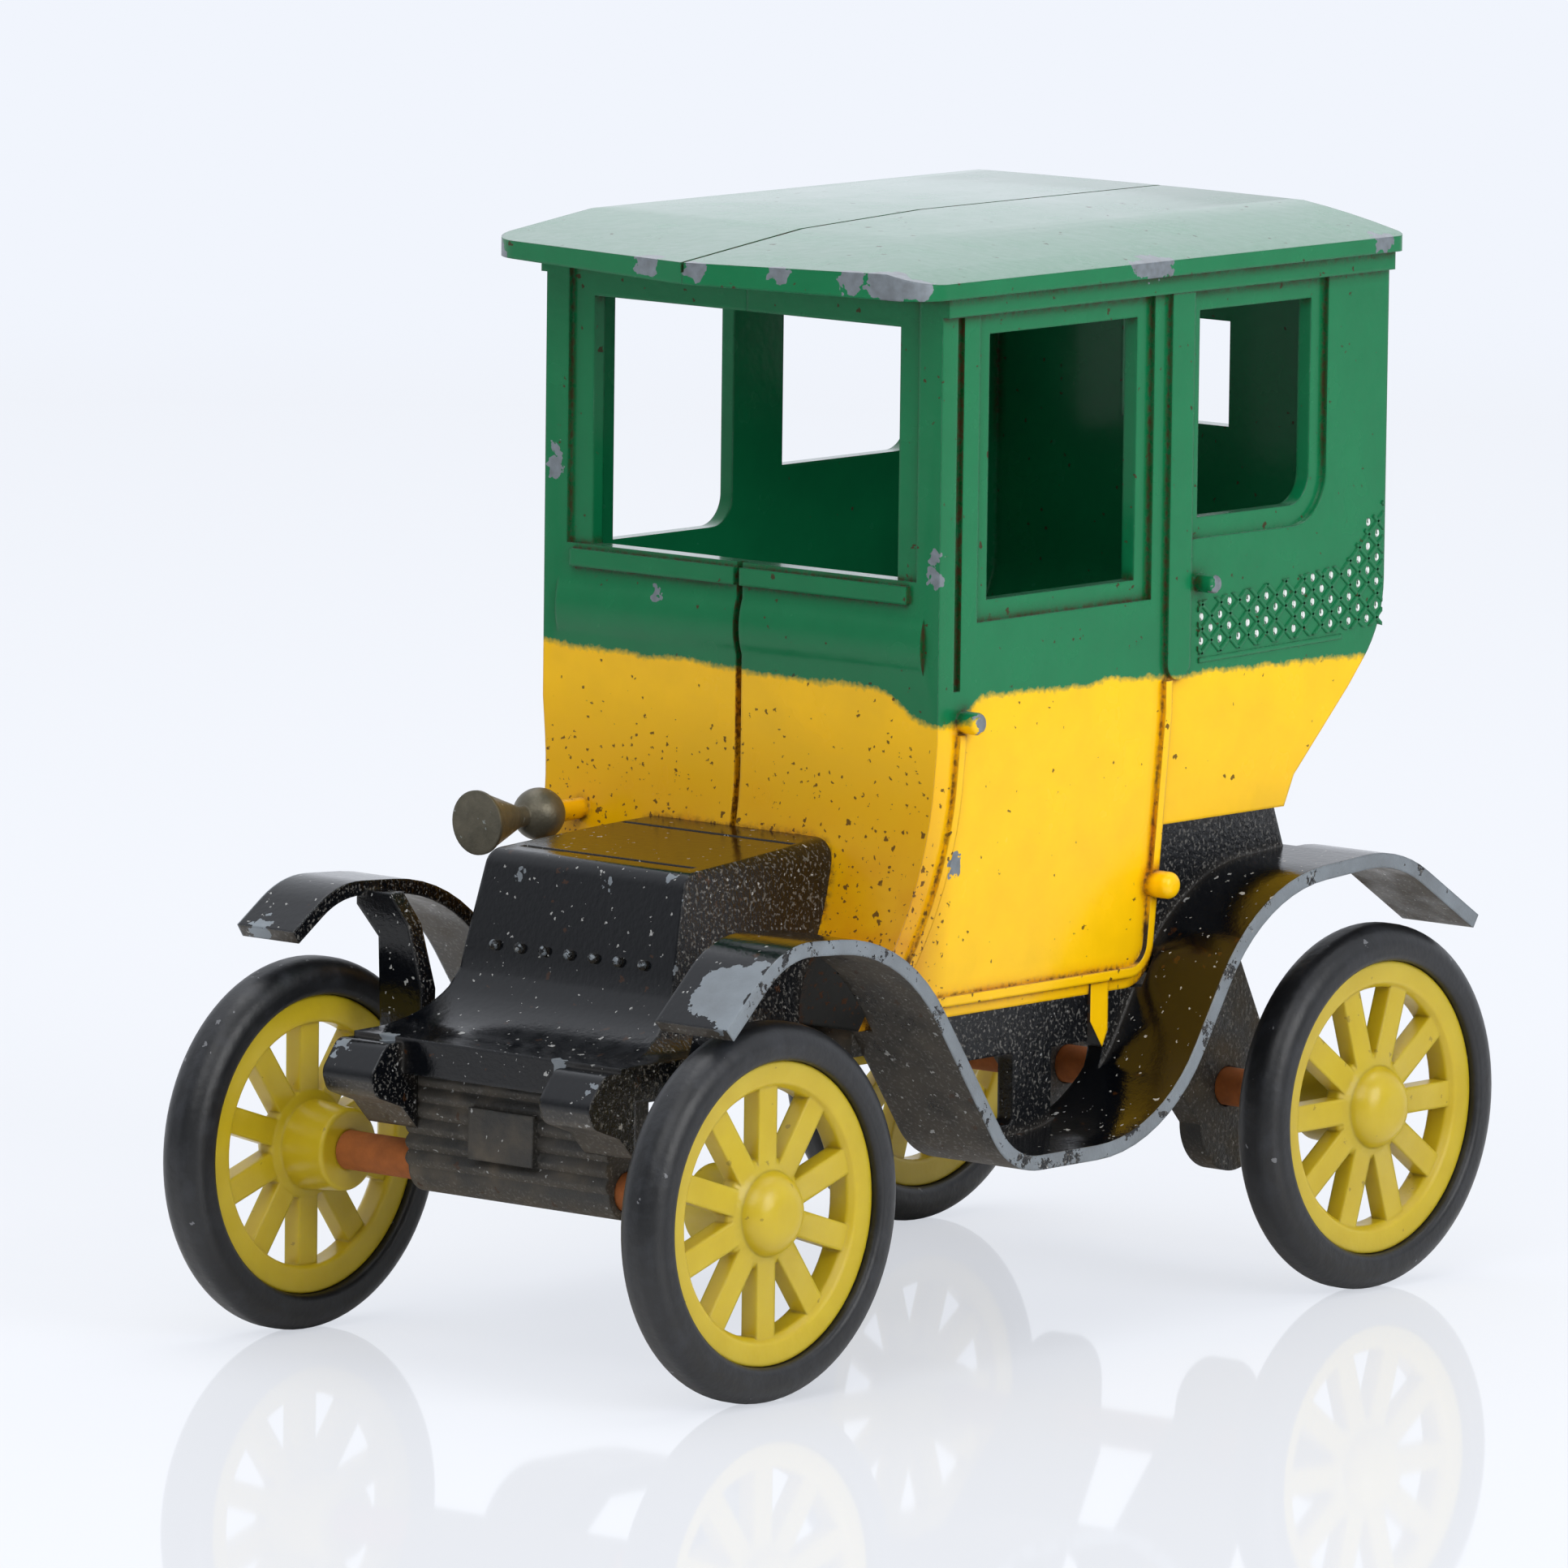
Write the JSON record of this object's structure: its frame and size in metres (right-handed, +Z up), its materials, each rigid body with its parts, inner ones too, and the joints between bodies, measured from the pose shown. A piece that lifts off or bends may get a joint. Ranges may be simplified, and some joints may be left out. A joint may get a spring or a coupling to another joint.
{
  "type": "toy taxi",
  "caption": "Veteran die-cast toy taxi: tall two-piece closed cab with open windows on a black frame with sweeping mudguards, spoked plastic wheels on turning steel axles.",
  "frame": {"origin": "on the floor under the middle of the wheelbase, in the plane midway between the left and right wheels", "axes": "+Z up, the car faces -Y, +X towards the car's left side"},
  "size_m": [0.0342, 0.0668, 0.0559],
  "materials": {
    "cab_paint": "gloss enamel, worn",
    "black_paint": "gloss enamel, worn",
    "horn_metal": "tarnished",
    "axle_steel": "rusted",
    "wheel_plastic": "moulded, slightly clear",
    "tyre_rubber": "matt"
  },
  "bodies": {
    "car": {"cab_left_half": "cab_paint", "cab_right_half": "cab_paint", "chassis_frame": "black_paint", "bonnet": "black_paint", "gilled_radiator": "black_paint", "left_mudguard": "black_paint", "right_mudguard": "black_paint", "bulb_horn": "horn_metal"},
    "front_wheelset": {"front_axle": "axle_steel", "front_left_wheel": "wheel_plastic", "front_right_wheel": "wheel_plastic", "front_left_tyre": "tyre_rubber", "front_right_tyre": "tyre_rubber"},
    "rear_wheelset": {"rear_axle": "axle_steel", "rear_left_wheel": "wheel_plastic", "rear_right_wheel": "wheel_plastic", "rear_left_tyre": "tyre_rubber", "rear_right_tyre": "tyre_rubber"}
  },
  "joints": [
    {"name": "front_axle_spin", "type": "hinge", "parent": "car", "child": "front_wheelset", "pos_m": [0, -0.0239, 0.0095], "axis": [1, 0, 0], "continuous": true},
    {"name": "rear_axle_spin", "type": "hinge", "parent": "car", "child": "rear_wheelset", "pos_m": [0, 0.0239, 0.0095], "axis": [1, 0, 0], "continuous": true}
  ]
}
